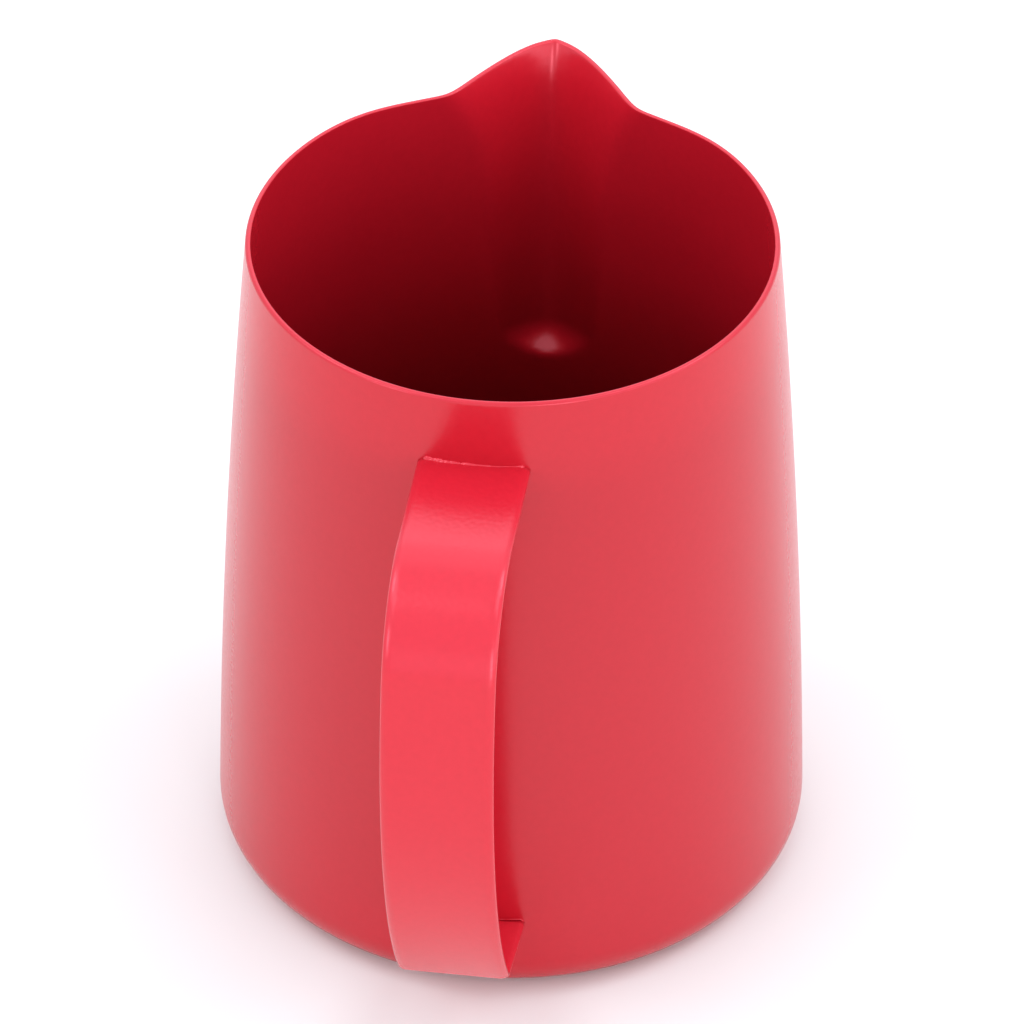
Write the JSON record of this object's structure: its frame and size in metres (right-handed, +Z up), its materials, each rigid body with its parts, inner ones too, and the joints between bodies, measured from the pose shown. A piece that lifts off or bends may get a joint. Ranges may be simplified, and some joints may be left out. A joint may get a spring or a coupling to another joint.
{
  "type": "milk frothing pitcher",
  "caption": "Open coated sheet-metal jug with a tapered round body, a pressed V-shaped pouring spout at the rim and a bent strap handle opposite it.",
  "frame": {"origin": "centre of the base's flat underside, on the body's axis", "axes": "+Z up along the body's axis, +X towards the pouring spout, -X towards the handle"},
  "size_m": [0.1278, 0.089, 0.108],
  "materials": {
    "body_coating": "satin red coating with a slight metallic effect and a fine texture, inside and outside",
    "handle_coating": "satin red coating with a slight metallic effect and a fine texture",
    "weld_coating": "satin red coating over an uneven weld bead"
  },
  "bodies": {
    "root": {"pitcher_body": "body_coating", "handle_strap": "handle_coating", "upper_weld_beads": "weld_coating", "lower_weld_beads": "weld_coating"}
  },
  "joints": []
}
